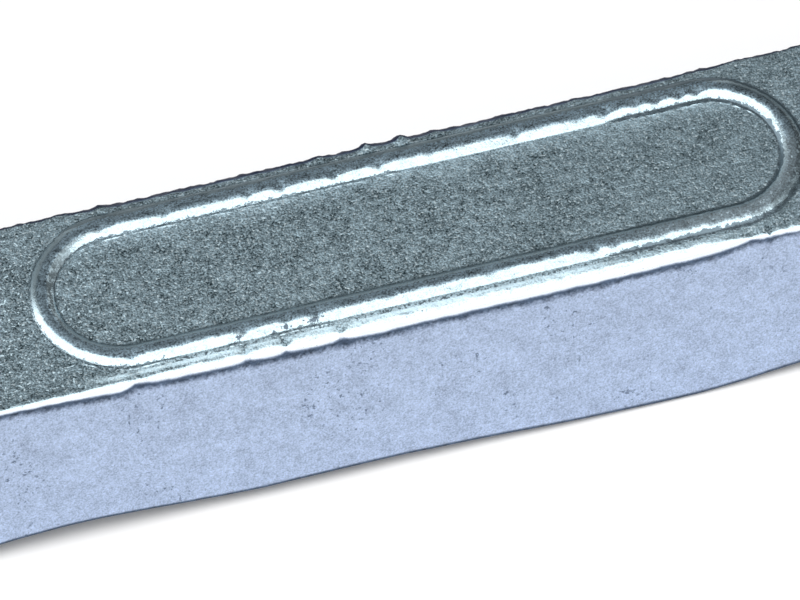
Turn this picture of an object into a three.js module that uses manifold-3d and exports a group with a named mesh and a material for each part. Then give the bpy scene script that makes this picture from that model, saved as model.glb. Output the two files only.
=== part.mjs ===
// A foundry ingot of aluminium alloy: one casting, poured in an open mould and turned over. It lies on
// the face that was open to the air, and the face cast against the mould's floor is on top, with its
// raised bead round a blank panel.
// Millimetres. +X runs along the bar and +Z is up. The origin is on the floor under the bar's middle.
import * as THREE from "three";
import { mergeVertices } from "three/addons/utils/BufferGeometryUtils.js";
import Module from "manifold-3d";

const wasm = await Module();
wasm.setup();

// The mould's cavity. Its floor makes the ingot's top face, and from there it widens to its mouth,
// where the underside is. The top face's length and width are to where its walls would meet it sharply.
const TOP_LENGTH = 639;
const TOP_WIDTH = 67.4;
const BAR_HEIGHT = 59.6; // from what the ingot rests on to its top face
const SIDE_DRAFT = THREE.MathUtils.degToRad(15);
const END_DRAFT = THREE.MathUtils.degToRad(24);
const CORNER_RADIUS = 7; // upright corners, in plan at the top face

// The round between the top face and the walls. Metal fills the mould's corner less well beside the
// panel, so the round is wide there and tight towards the ends.
const RIM_RADIUS = 1.8;
const PANEL_RIM_RADIUS = 4.7;
const RIM_EASE = 40; // length over which one radius becomes the other

// The bead: a ridge of circular section that runs round an obround panel in the middle of the top face.
const PANEL_LENGTH = 251; // over the bead
const PANEL_MARGIN = 5; // from the bead to the top face's edge
const BEAD_WIDTH = 8;
const BEAD_HEIGHT = 2;
const BEAD_ROOT = 1; // how far the bead's own solid goes below the top face, so that the two fuse

// The underside: the free surface of the melt. It meets the walls in a small lip, sinks along its
// middle as the metal shrinks, and stands off the floor where its level was low.
const LIP_RADIUS = 1.5;
const REST_BAND = 16; // from the mouth's edge to where the hollow starts
const HOLLOW_DEPTH = 2.2;
const HOLLOW_FLOOR = 20; // width of the hollow's level floor
const LOW_LEVELS = [
  { at: -134, reach: 76, rise: 6.3 },
  { at: -41, reach: 121, rise: 4 },
  { at: 128, reach: 53, rise: 3.8 },
];

// Facets
const SIDE_STEPS = 48;
const END_STEPS = 2; // on each half of an end
const CORNER_STEPS = 5;
const RIM_STEPS = 7;
const LIP_STEPS = 3;
const BEAD_STEPS = 10;
const BEAD_TURN_STEPS = 22; // round each half-circle of the bead
const HOLLOW_STEPS = 3;

const QUARTER = Math.PI / 2;
const PANEL_WIDTH = TOP_WIDTH - 2 * PANEL_MARGIN; // over the bead
const MOUTH_HALF_LENGTH = TOP_LENGTH / 2 + BAR_HEIGHT * Math.tan(END_DRAFT);
const MOUTH_HALF_WIDTH = TOP_WIDTH / 2 + BAR_HEIGHT * Math.tan(SIDE_DRAFT);

// How far the free surface stands off the floor at x.
function lowLevel(x) {
  return LOW_LEVELS.reduce((sum, { at, reach, rise }) => {
    const t = Math.min(Math.abs(x - at) / reach, 1);
    return sum + rise * Math.cos(t * QUARTER) ** 2;
  }, 0);
}

function rimRadius(x) {
  const panelEnd = PANEL_LENGTH / 2;
  const toEnd = THREE.MathUtils.smoothstep(Math.abs(x), panelEnd - RIM_EASE, panelEnd);
  return THREE.MathUtils.lerp(PANEL_RIM_RADIUS, RIM_RADIUS, toEnd);
}

// The outline of the top face, if its rim were sharp: points anticlockwise from the middle of the +X
// end, each with the direction that its wall faces in plan and the wall's draft.
function topOutline() {
  const straightX = TOP_LENGTH / 2 - CORNER_RADIUS;
  const straightY = TOP_WIDTH / 2 - CORNER_RADIUS;
  const quarter = []; // from the middle of the +X end to the middle of the +Y side
  for (let i = 0; i < END_STEPS; i++) {
    quarter.push({ x: straightX, y: (straightY * i) / END_STEPS, turn: 0 });
  }
  for (let i = 0; i <= CORNER_STEPS; i++) {
    quarter.push({ x: straightX, y: straightY, turn: (QUARTER * i) / CORNER_STEPS });
  }
  for (let i = 1; i <= SIDE_STEPS / 2; i++) {
    quarter.push({ x: straightX * (1 - (2 * i) / SIDE_STEPS), y: straightY, turn: QUARTER });
  }
  const backward = quarter.slice(0, -1).reverse();
  const half = [...quarter, ...backward.map(({ x, y, turn }) => ({ x: -x, y, turn: 2 * QUARTER - turn }))];
  const otherHalf = half.slice(1, -1).reverse();
  const whole = [...half, ...otherHalf.map(({ x, y, turn }) => ({ x, y: -y, turn: -turn }))];
  return whole.map(({ x, y, turn }) => {
    const facing = new THREE.Vector2(Math.cos(turn), Math.sin(turn));
    return {
      at: new THREE.Vector2(x, y).addScaledVector(facing, CORNER_RADIUS),
      facing,
      draft: THREE.MathUtils.lerp(END_DRAFT, SIDE_DRAFT, facing.y ** 2),
    };
  });
}

// Points of a round of this radius between the wall and a level face, from one angle of its normal
// above level to another. centreZ is the height of the round's centre.
function roundOff({ at, facing, draft }, radius, centreZ, fromAngle, toAngle, steps) {
  const below = BAR_HEIGHT - centreZ;
  const centreOut = (below * Math.sin(draft) - radius) / Math.cos(draft);
  const points = [];
  for (let i = 0; i <= steps; i++) {
    const angle = THREE.MathUtils.lerp(fromAngle, toAngle, i / steps);
    const plan = at.clone().addScaledVector(facing, centreOut + radius * Math.cos(angle));
    points.push(new THREE.Vector3(plan.x, plan.y, centreZ + radius * Math.sin(angle)));
  }
  return points;
}

// The wall at one point of the outline, from its lip on the underside up over the rim.
function wallProfile(spot) {
  const radius = rimRadius(spot.at.x);
  const lipCentreZ = lowLevel(spot.at.x) + LIP_RADIUS;
  return [
    ...roundOff(spot, LIP_RADIUS, lipCentreZ, -QUARTER, spot.draft, LIP_STEPS),
    ...roundOff(spot, radius, BAR_HEIGHT - radius, spot.draft, QUARTER, RIM_STEPS),
  ];
}

// A ring of the underside: on the mouth's outline, drawn in by a share of the way across the hollow's
// slope, and as deep as the slope is there.
function hollowRing(outline, share) {
  const slope = MOUTH_HALF_WIDTH - REST_BAND - HOLLOW_FLOOR / 2;
  const inset = REST_BAND + slope * share;
  const depth = HOLLOW_DEPTH * THREE.MathUtils.smoothstep(share, 0, 1);
  const drawnIn = new THREE.Vector2(1 - inset / MOUTH_HALF_LENGTH, 1 - inset / MOUTH_HALF_WIDTH);
  return outline.map(({ at, facing, draft }) => {
    const mouth = at.clone().addScaledVector(facing, BAR_HEIGHT * Math.tan(draft));
    mouth.multiply(drawnIn);
    return new THREE.Vector3(mouth.x, mouth.y, lowLevel(at.x) + depth);
  });
}

// The faces between rings of equally many points, as numbers of points. When closed, the last ring
// joins the first.
function bandFaces(ringCount, count, closed) {
  const faces = [];
  const bands = closed ? ringCount : ringCount - 1;
  for (let ring = 0; ring < bands; ring++) {
    const low = ring * count;
    const high = ((ring + 1) % ringCount) * count;
    for (let i = 0; i < count; i++) {
      const next = (i + 1) % count;
      faces.push([low + i, low + next, high + next], [low + i, high + next, high + i]);
    }
  }
  return faces;
}

// The faces that cap a ring which is its own mirror image across the X axis and starts on it: each
// point joins its image. Such a cap faces down.
function capFaces(first, count) {
  const faces = [];
  for (let i = 0; i < count / 2; i++) {
    const point = first + i;
    const image = first + ((count - i) % count);
    const nextImage = first + count - i - 1;
    faces.push([point, image, nextImage], [point, nextImage, point + 1]);
  }
  return faces.filter(([a, b, c]) => a !== b && b !== c && c !== a);
}

function geometryFrom(rings, faces) {
  const geometry = new THREE.BufferGeometry();
  const positions = rings.flat().flatMap((point) => point.toArray());
  geometry.setAttribute("position", new THREE.Float32BufferAttribute(positions, 3));
  geometry.setIndex(faces.flat());
  return geometry;
}

function bodyGeometry() {
  const outline = topOutline();
  const hollow = [];
  for (let step = HOLLOW_STEPS; step >= 0; step--) {
    hollow.push(hollowRing(outline, step / HOLLOW_STEPS));
  }
  const walls = outline.map(wallProfile);
  const levels = walls[0].map((_, level) => walls.map((wall) => wall[level]));
  const rings = [...hollow, ...levels];
  const count = outline.length;
  const underside = capFaces(0, count);
  const top = capFaces((rings.length - 1) * count, count).map((face) => face.reverse());
  return geometryFrom(rings, [...underside, ...bandFaces(rings.length, count, false), ...top]);
}

// The bead's section: how far out from the bead's middle line, and how high above the top face.
function beadSection() {
  const half = BEAD_WIDTH / 2;
  const radius = (half ** 2 + BEAD_HEIGHT ** 2) / (2 * BEAD_HEIGHT);
  const footAngle = Math.atan2(radius - BEAD_HEIGHT, half);
  const crown = new THREE.Path().absarc(0, BEAD_HEIGHT - radius, radius, footAngle, Math.PI - footAngle);
  const over = crown.getPoints(BEAD_STEPS);
  return [new THREE.Vector2(half, -BEAD_ROOT), ...over, new THREE.Vector2(-half, -BEAD_ROOT)];
}

function beadGeometry() {
  const turnRadius = (PANEL_WIDTH - BEAD_WIDTH) / 2;
  const turnX = (PANEL_LENGTH - PANEL_WIDTH) / 2;
  const section = beadSection();
  const rings = [];
  for (const [side, start] of [[1, -QUARTER], [-1, QUARTER]]) {
    for (let i = 0; i <= BEAD_TURN_STEPS; i++) {
      const turn = start + (Math.PI * i) / BEAD_TURN_STEPS;
      const out = new THREE.Vector2(Math.cos(turn), Math.sin(turn));
      rings.push(section.map(({ x, y }) => {
        const reach = turnRadius + x;
        return new THREE.Vector3(side * turnX + out.x * reach, out.y * reach, BAR_HEIGHT + y);
      }));
    }
  }
  return geometryFrom(rings, bandFaces(rings.length, section.length, true));
}

function solidOf(geometry) {
  const merged = mergeVertices(geometry, 1e-4);
  return new wasm.Manifold(new wasm.Mesh({
    numProp: 3,
    vertProperties: merged.attributes.position.array,
    triVerts: new Uint32Array(merged.index.array),
  }));
}

function geometryOf(solid) {
  const { numProp, vertProperties, triVerts } = solid.getMesh();
  const geometry = new THREE.BufferGeometry();
  const buffer = new THREE.InterleavedBuffer(vertProperties, numProp);
  geometry.setAttribute("position", new THREE.InterleavedBufferAttribute(buffer, 3, 0));
  geometry.setIndex(new THREE.BufferAttribute(triVerts, 1));
  geometry.computeVertexNormals();
  return geometry;
}

const castAluminium = new THREE.MeshStandardMaterial({ color: 0x9aa6b4, metalness: 1, roughness: 0.5 });
const casting = solidOf(bodyGeometry()).add(solidOf(beadGeometry()));
const ingot = new THREE.Mesh(geometryOf(casting), castAluminium);
ingot.name = "ingot";

const part = new THREE.Group();
part.add(ingot);

export default part;
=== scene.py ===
"""Looks of a foundry ingot of cast aluminium, with its cast skin and relief, in a plain studio."""

import logging
import math
from dataclasses import dataclass, field, replace
from enum import Enum
from typing import Callable, Sequence

import bmesh
import bpy
import numpy as np
from mathutils import Matrix, Vector


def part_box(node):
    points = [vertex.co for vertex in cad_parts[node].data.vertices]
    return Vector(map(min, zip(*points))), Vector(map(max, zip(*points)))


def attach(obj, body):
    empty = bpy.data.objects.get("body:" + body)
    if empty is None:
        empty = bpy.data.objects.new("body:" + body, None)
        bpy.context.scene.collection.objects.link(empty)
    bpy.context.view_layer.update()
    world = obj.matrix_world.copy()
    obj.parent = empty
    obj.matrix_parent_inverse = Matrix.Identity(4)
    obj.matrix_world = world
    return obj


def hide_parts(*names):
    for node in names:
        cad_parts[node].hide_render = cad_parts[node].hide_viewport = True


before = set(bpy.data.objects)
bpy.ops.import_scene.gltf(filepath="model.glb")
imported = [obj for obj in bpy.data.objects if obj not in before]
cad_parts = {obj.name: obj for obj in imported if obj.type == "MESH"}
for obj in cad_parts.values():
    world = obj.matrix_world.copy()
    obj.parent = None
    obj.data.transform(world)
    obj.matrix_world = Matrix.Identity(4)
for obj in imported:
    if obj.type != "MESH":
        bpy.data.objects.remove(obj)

MM = 0.001
CAST_NODE = "ingot"
BODY = "root"
WEIGHT_STEPS = 64  # that a vertex group's weights are rounded to
NEAR = 0.1 * MM  # within which a place counts as on a line
DARKEST = 0.15  # share of its colour that a varied finish keeps
BRIGHTEST = 0.98  # that a varied finish reaches in any channel
Colour = tuple[float, float, float, float]
Socket = bpy.types.NodeSocket

log = logging.getLogger("ingot")


class Zone(Enum):
    """Parts of the skin that relief is given to, each with a vertex group of its name."""

    WRAP = "wrap"
    LEVEL = "level"
    BEAD = "bead"
    RIDGE = "ridge"
    RIM = "rim"
    FAR_RIM = "far rim"
    CORNER = "corner"
    FILLET = "fillet"
    LUMP = "lump"
    DROP = "drop"
    SLOPE = "slope"
    TOP = "top"
    WALL = "wall"
    UNDERSIDE = "underside"


class Mark(Enum):
    """Attributes that the casting's mesh hands to its finish, by name."""

    EDGE_HEIGHT = "edge_height"  # above the bar's lower edge, in metres
    RIM_FOOT = "rim_foot"  # height of the rim's lower edge, in metres
    GRAIN_FOOT = "grain_foot"  # height that the grain of the top face reaches down to on the rim, in metres
    LAPS = "laps"  # how strongly the front rim is pinched
    FILLED = "filled"  # 1 where the bead's front foot is filled
    PITS = "pits"  # 1 in the middle of a pit


class Way(Enum):
    """Which way a displacement moves the skin."""

    UP = "Z"
    OUT = "NORMAL"


class Part(Enum):
    """What a test in edit mode is made on."""

    VERT = "verts"
    EDGE = "edges"
    FACE = "faces"


def ease(value: np.ndarray, low: float, high: float) -> np.ndarray:
    """Ease from 0 at low to 1 at high.

    Args:
        value: Numbers to ease.
        low: Where the ease starts.
        high: Where it ends. It may be below low, and the ease then falls.

    Returns:
        Shares from 0 to 1.
    """
    share = np.clip((value - low) / (high - low), 0.0, 1.0)
    return share * share * (3.0 - 2.0 * share)


def ease_mm(value: np.ndarray, low: float, high: float) -> np.ndarray:
    """Ease lengths in metres from 0 at low mm to 1 at high mm."""
    return ease(value, low * MM, high * MM)


def make_active(obj: bpy.types.Object) -> None:
    """Select one object alone and make it active.

    Args:
        obj: The object.
    """
    bpy.ops.object.select_all(action="DESELECT")
    obj.select_set(True)
    bpy.context.view_layer.objects.active = obj


def pick(obj: bpy.types.Object, part: Part, test: Callable[[object], bool]) -> None:
    """Select in edit mode what passes a test, and nothing else.

    Args:
        obj: Mesh object in edit mode.
        part: What the test is made on.
        test: Takes a bmesh vertex, edge or face.
    """
    bpy.ops.mesh.select_mode(type=part.name)
    bpy.ops.mesh.select_all(action="DESELECT")
    mesh = bmesh.from_edit_mesh(obj.data)
    for element in getattr(mesh, part.value):
        if test(element):
            element.select_set(True)
    mesh.select_flush_mode()
    bmesh.update_edit_mesh(obj.data)


def positions(obj: bpy.types.Object) -> np.ndarray:
    """Read the vertices of an object.

    Args:
        obj: Mesh object in object mode.

    Returns:
        One row of x, y and z for each vertex.
    """
    flat = np.empty(len(obj.data.vertices) * 3, np.float32)
    obj.data.vertices.foreach_get("co", flat)
    return flat.reshape(-1, 3).astype(float)


def weigh(obj: bpy.types.Object, zone: Zone, weights: np.ndarray) -> None:
    """Give an object a vertex group, with its weights rounded to whole steps.

    Args:
        obj: Mesh object in object mode.
        zone: Which zone the group is for.
        weights: One weight from 0 to 1 for each vertex.
    """
    group = obj.vertex_groups.new(name=zone.value)
    levels = np.rint(weights * WEIGHT_STEPS).astype(int)
    for level in range(1, WEIGHT_STEPS + 1):
        found = np.flatnonzero(levels == level)
        if len(found):
            group.add(found.tolist(), level / WEIGHT_STEPS, "REPLACE")


def mark(obj: bpy.types.Object, name: Mark, values: np.ndarray) -> None:
    """Give an object an attribute with one number for each vertex.

    Args:
        obj: Mesh object in object mode.
        name: Which attribute it is.
        values: The numbers.
    """
    attribute = obj.data.attributes.new(name.value, "FLOAT", "POINT")
    attribute.data.foreach_set("value", np.asarray(values, np.float32))


def apply_modifier(obj: bpy.types.Object, kind: str, **settings: object) -> None:
    """Add a modifier to an object, set it and apply it.

    Args:
        obj: Object to change.
        kind: Blender's name for the type of modifier.
        settings: Values for the modifier's properties.
    """
    make_active(obj)
    modifier = obj.modifiers.new(kind.lower(), kind)
    for name, value in settings.items():
        setattr(modifier, name, value)
    bpy.ops.object.modifier_apply(modifier=modifier.name)


@dataclass(frozen=True)
class Panel:
    """The obround panel on the top face and the bead round it, in metres."""

    length: float = 251 * MM
    width: float = 57.4 * MM
    bead_width: float = 8 * MM
    bead_height: float = 2 * MM

    @property
    def radius(self) -> float:
        """Radius of the bead's round ends at its outer foot."""
        return self.width / 2

    @property
    def section_radius(self) -> float:
        """Radius of the arc that is the bead's section."""
        return ((self.bead_width / 2) ** 2 + self.bead_height**2) / (2 * self.bead_height)

    @property
    def turn_x(self) -> float:
        """Distance of each round end's centre from the middle of the bar."""
        return (self.length - self.width) / 2

    @property
    def floor_radius(self) -> float:
        """Radius of the round ends at the bead's inner foot."""
        return self.radius - self.bead_width

    def reach(self, x: np.ndarray, y: np.ndarray) -> np.ndarray:
        """Return the distance of points in plan from the panel's middle line."""
        return np.hypot(np.maximum(np.abs(x) - self.turn_x, 0.0), y)

    def rise(self, inward: float) -> float:
        """Return the bead's height at a distance inward of its outer foot."""
        radius = self.section_radius
        return math.sqrt(max(radius**2 - (inward - self.bead_width / 2) ** 2, 0)) - (radius - self.bead_height)


@dataclass(frozen=True)
class LowLevel:
    """A place where the melt stood low in the mould, so that the underside stands off the floor."""

    at: float
    reach: float
    rise: float

    def height(self, x: np.ndarray) -> np.ndarray:
        """Return how far it lifts the underside at x."""
        share = np.minimum(np.abs(x - self.at) / self.reach, 1.0)
        return self.rise * np.cos(share * math.pi / 2) ** 2


@dataclass(frozen=True)
class Laps:
    """Places along the bar, in mm and with a strength, where two laps of melt met and an edge is pinched."""

    places: Sequence[tuple[float, float]]
    before: float = 3 * MM  # how far the pinch reaches towards the left
    after: float = 3 * MM  # and towards the right

    def share(self, x: np.ndarray) -> np.ndarray:
        """Tell how strongly the edge is pinched.

        Args:
            x: Places along the bar, in metres.

        Returns:
            The strength of the strongest lap at each place, which fades to both sides of a lap.
        """
        most = np.zeros_like(x)
        for at, depth in self.places:
            away = x - at * MM
            most = np.maximum(most, depth * np.exp(np.where(away < 0, away / self.before, -away / self.after)))
        return most

    def mounds(self, x: np.ndarray) -> np.ndarray:
        """Return 1 at each place, falling to 0 at both sides of it like a mound."""
        return sum(depth * np.exp(-(((x - at * MM) / self.after) ** 2)) for at, depth in self.places)

    def scallops(self, x: np.ndarray) -> np.ndarray:
        """Cut an arc into both sides of each lap.

        Args:
            x: Places along the bar, in metres.

        Returns:
            The lap's strength at its place, falling steeply at first and to 0 where it ends.
        """
        most = np.zeros_like(x)
        for at, depth in self.places:
            away = x - at * MM
            share = np.clip(np.where(away < 0, -away / self.before, away / self.after), 0, 1)
            most = np.maximum(most, depth * (1 - np.sqrt(share * (2 - share))))
        return most


@dataclass(frozen=True)
class Pit:
    """A small hole in the skin."""

    x: float
    y: float
    length: float = 1.2 * MM
    width: float = 0.8 * MM

    def share(self, x: np.ndarray, y: np.ndarray) -> np.ndarray:
        """Return 1 in its middle and 0 well away from it, for points in plan."""
        return np.exp(-((x - self.x * MM) / self.length) ** 2 - ((y - self.y * MM) / self.width) ** 2)


@dataclass(frozen=True)
class Flank:
    """The even slope of the bead's flank, in mm inward from its foot and upward."""

    start: float = 0.1
    top: float = 2.8  # where the slope ends
    height: float = 1.88  # at its top
    wide_top: float = 0.25  # further inward that the top is where the flank is wide
    wide_height: float = 0.09  # and higher
    step_top: float = 1.1  # further outward that it is where the flank steps back
    step_height: float = 0.8  # and lower
    step_crown: float = 0.55  # lower that the bead's crown is there
    fade: float = 2.5  # beyond the crown, over which it comes back to its height


@dataclass(frozen=True)
class Relief:
    """Unevenness of one size over one zone of the skin."""

    zone: Zone
    size: float
    depth: float
    way: Way = Way.OUT
    octaves: int = 1
    middle: float = 0.5  # brightness of the clouds at which the skin stays where it is

    def give_to(self, obj: bpy.types.Object) -> None:
        """Displace an object's zone by this relief.

        Args:
            obj: Object with a vertex group of the zone's name.
        """
        clouds = bpy.data.textures.new(f"{self.zone.value} {self.size / MM:g}", "CLOUDS")
        clouds.noise_scale = self.size
        clouds.noise_depth = self.octaves
        clouds.noise_basis = "ORIGINAL_PERLIN"
        apply_modifier(
            obj, "DISPLACE", texture=clouds, texture_coords="LOCAL", strength=self.depth,
            mid_level=self.middle, direction=self.way.value, vertex_group=self.zone.value,
        )


@dataclass
class Casting:
    """The ingot as one closed mesh, dense where its relief is fine.

    It is modelled from the bead outwards: the bead and the panel's floor, the level sheet round them,
    the rounded rim, the drafted walls and the underside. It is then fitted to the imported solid, and
    given the unevenness of a casting.
    """

    panel: Panel = field(default_factory=Panel)
    name: str = "cast_ingot"
    turn_points: int = 88  # round each end of the bead
    side_cuts: int = 95  # on each half of the bead's straight sides
    bead_steps: int = 14
    foot_rows: Sequence[float] = (0.1, 0.25, 0.4, 0.6, 0.8, 1.1)  # mm, inward from the first outline
    floor_span: int = 44
    sheet_half_length: float = 131 * MM
    sheet_half_width: float = 30.1 * MM
    sheet_cuts: int = 3
    end_points: int = 32  # across the bar
    end_cuts: int = 62  # along each end of the bar, beyond the sheet round the bead
    end_x: float = 315.9 * MM  # where the rim starts to turn down at the ends
    rim_radius: float = 4.7 * MM
    rim_steps: int = 13
    skirt_width: float = 4 * MM  # of the closer rows just below the rim
    skirt_steps: int = 6
    wall_cuts: int = 23
    side_draft: float = math.radians(15)
    end_draft: float = math.radians(24)
    lip_radius: float = 1.5 * MM
    lip_steps: int = 4
    band_width: float = 16 * MM
    band_steps: int = 7
    ridge_height: float = 0.32 * MM
    ridge_width: float = 0.42  # mm, from its crest to each side
    ridge_offset: float = 0.72 * MM  # from the bead's foot
    ridge_wander: float = 0.16 * MM
    fillet_height: float = 0.8 * MM
    fillet_width: float = 2.5 * MM
    fillet_reach: float = 1.25 * MM  # off the bead
    filled_foot: float = 0.4  # mm outward that the slope's foot lies where it is filled
    uneven_foot: float = 0.55  # mm that it wanders by at the right
    back_foot: float = 0.9  # mm inward that it lies at the right of the bead's back side
    deepest_back_step: float = 1.45
    lump_height: float = 1.5 * MM
    lap_drop: float = 1.25 * MM
    drop_start: float = 28.9 * MM  # from the bar's middle to where a lap starts to drop the rim
    bare_rim: float = 3.8 * MM  # how far the grain stays above the rim's lower edge between laps
    right_tightness: float = 0.45  # how sharp the front rim gets at the right, where 1 is a sharp corner
    most_tightness: float = 0.95
    slope_depth: float = 0.8 * MM
    flank: Flank = Flank()
    round_rim_foot: float = 56.4 * MM
    sharp_rim_foot: float = 59.2 * MM
    low_levels: Sequence[LowLevel] = (
        LowLevel(-134 * MM, 76 * MM, 6.3 * MM),
        LowLevel(-41 * MM, 121 * MM, 4 * MM),
        LowLevel(128 * MM, 53 * MM, 3.8 * MM),
    )
    rim_laps: Laps = Laps(
        ((-65.4, 0.95), (-53.2, 0.95), (-35.2, 1), (-101, 0.5), (98.3, 1.2), (104.2, 1.4), (109.6, 1.1), (115.3, 1.3)),
        1.6 * MM, 3.6 * MM,
    )
    long_laps: Laps = Laps(((-101, 0.62),), 3 * MM, 26 * MM)
    front_laps: Laps = Laps(
        (
            (-122, 0.9), (-115, 0.8), (-106, 0.8), (-100, 1.4), (-84, 0.6), (-64.3, 1.4), (-50, 1.3), (-41, 1.6),
            (-17, 0.4), (16, 0.4), (49, 1.6), (56, 1.3), (70, 1.2), (80, 1.2), (88, 1.3), (97, 1.3), (104, 1.5),
            (111, 1.5),
        ),
        before=1.6 * MM, after=2 * MM,
    )
    back_laps: Laps = Laps(
        (
            (-97.3, 1), (-76.7, 1.3), (-49.6, 1.2), (-38.8, 1.5), (-21.7, 1.6), (-7, 1.5), (10.4, 0.9), (37.9, 1.2),
            (58.2, 0.9), (67.5, 1.9), (77.5, 1.1), (84.3, 1.9), (92, 1.9), (97.6, 1.9),
        ),
        before=1.6 * MM, after=1.8 * MM,
    )
    filled_spans: Sequence[tuple[float, float, float, float]] = (  # mm: from 0 to 1, and back to 0
        (-90, -84, -73, -69), (-66.5, -64.5, -58, -56), (-42, -34, 46, 56)
    )
    far_lumps: Laps = Laps(((-24, 0.4), (-8.7, 0.9), (3, 1), (14, 0.4), (-95, 0.4), (60, 0.3)), 2.1 * MM, 2.1 * MM)
    pits: Sequence[Pit] = (
        Pit(-66.1, -27.6, 1.6 * MM), Pit(-50.9, -27.6, 1.5 * MM), Pit(-42, -27.5, 2.6 * MM), Pit(-55, -28.4, 0.8 * MM)
    )
    reliefs: Sequence[Relief] = (
        Relief(Zone.TOP, 9 * MM, 0.3 * MM, Way.UP),
        Relief(Zone.BEAD, 2.2 * MM, 0.2 * MM),
        Relief(Zone.BEAD, 4 * MM, 0.25 * MM),
        Relief(Zone.BEAD, 10 * MM, 0.6 * MM),
        Relief(Zone.RIM, 4.5 * MM, 0.6 * MM),
        Relief(Zone.RIM, 16 * MM, 1.2 * MM),
        Relief(Zone.FAR_RIM, 2.4 * MM, 1.3 * MM),
        Relief(Zone.FAR_RIM, 9 * MM, 1.0 * MM),
        Relief(Zone.WALL, 40 * MM, 0.9 * MM),
        Relief(Zone.WALL, 14 * MM, 0.25 * MM),
        Relief(Zone.UNDERSIDE, 18 * MM, 1.2 * MM, octaves=3, middle=0.75),
    )
    obj: bpy.types.Object = field(init=False)
    top: float = field(init=False)  # height of the top face
    half: tuple[float, float] = field(init=False)  # half the length and width of the open border
    floor_outline: float = field(init=False)  # how far the panel's floor reaches from its middle line

    def __post_init__(self) -> None:
        """Read the bar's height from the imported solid."""
        self.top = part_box(CAST_NODE)[1].z - self.panel.bead_height
        self.half = (self.sheet_half_length, self.sheet_half_width)

    def build(self) -> bpy.types.Object:
        """Model the casting.

        Returns:
            The finished object, at the origin.
        """
        self._outline_bead()
        self._raise_bead()
        self._fill_floor()
        self._lay_sheet()
        self._draw_ends()
        self._turn_rim()
        self._draw_walls()
        self._close_underside()
        bpy.ops.object.mode_set(mode="OBJECT")
        mark(self.obj, Mark.EDGE_HEIGHT, positions(self.obj)[:, 2])
        self._fit_to_solid()
        self._roughen()
        bpy.ops.object.shade_smooth()
        log.info("%s: %d faces", self.name, len(self.obj.data.polygons))
        return self.obj

    @property
    def outline_margin(self) -> float:
        """How far the first outline lies outside the bead's foot."""
        return self.foot_rows[-1] * MM

    def _pick_edges(self, test: Callable[[Vector, Vector], bool], border: bool = False) -> None:
        """Select edges by the places of their two ends.

        Args:
            test: Takes the two places.
            border: Whether only edges of an open border count.
        """
        pick(
            self.obj,
            Part.EDGE,
            lambda edge: (not border or len(edge.link_faces) < 2) and test(edge.verts[0].co, edge.verts[1].co),
        )

    def _reach(self, place: Vector) -> float:
        """Return how far a place is from the panel's middle line, in plan."""
        return math.hypot(max(abs(place.x) - self.panel.turn_x, 0), place.y)

    def _outline_bead(self) -> None:
        """Draw an outline round the bead: a circle pulled apart, with points along its straight sides."""
        bpy.ops.object.select_all(action="DESELECT")
        bpy.ops.mesh.primitive_circle_add(
            vertices=2 * self.turn_points, radius=self.panel.radius + self.outline_margin, location=(0, 0, self.top)
        )
        self.obj = bpy.context.object
        self.obj.name = self.obj.data.name = self.name
        bpy.ops.object.transform_apply(location=True, rotation=False, scale=False)
        bpy.ops.object.mode_set(mode="EDIT")
        for side in (1, -1):
            pick(self.obj, Part.VERT, lambda vert: vert.co.x * side > NEAR)
            bpy.ops.transform.translate(value=(side * self.panel.turn_x, 0, 0))
        self._pick_edges(lambda a, b: (a - b).length > self.panel.turn_x / 2)
        bpy.ops.mesh.subdivide(number_cuts=self.side_cuts)
        bpy.ops.mesh.select_all(action="SELECT")
        bpy.ops.mesh.edge_face_add()
        if next(iter(bmesh.from_edit_mesh(self.obj.data).faces)).normal.z < 0:
            bpy.ops.mesh.flip_normals()

    def _raise_bead(self) -> None:
        """Inset the outlined face step by step over the bead's section, down to the panel's floor."""
        bpy.ops.mesh.select_mode(type="FACE")
        foot = [row * MM for row in self.foot_rows]
        over = [
            self.panel.bead_width * (1 - math.cos(math.pi * step / self.bead_steps)) / 2
            for step in range(1, self.bead_steps + 1)
        ]
        rows = [(row, 0.0) for row in foot]
        rows += [(foot[-1] + row, self.panel.rise(row)) for row in over]
        across = 2 * foot[-1] + self.panel.bead_width
        rows += [(across - row, 0.0) for row in reversed(foot[:-1])]
        inward, height = 0.0, 0.0
        for next_inward, next_height in rows:
            bpy.ops.mesh.inset(thickness=next_inward - inward, depth=next_height - height)
            inward, height = next_inward, next_height
        self.floor_outline = self.panel.radius + foot[-1] - inward

    def _fill_floor(self) -> None:
        """Replace the single face inside the bead with a grid."""
        bpy.ops.mesh.delete(type="ONLY_FACE")
        self._pick_edges(
            lambda a, b: all(abs(self._reach(end) - self.floor_outline) < NEAR / 2 for end in (a, b)), border=True
        )
        bpy.ops.mesh.fill_grid(span=self.floor_span, offset=self.floor_span // 2)

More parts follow.
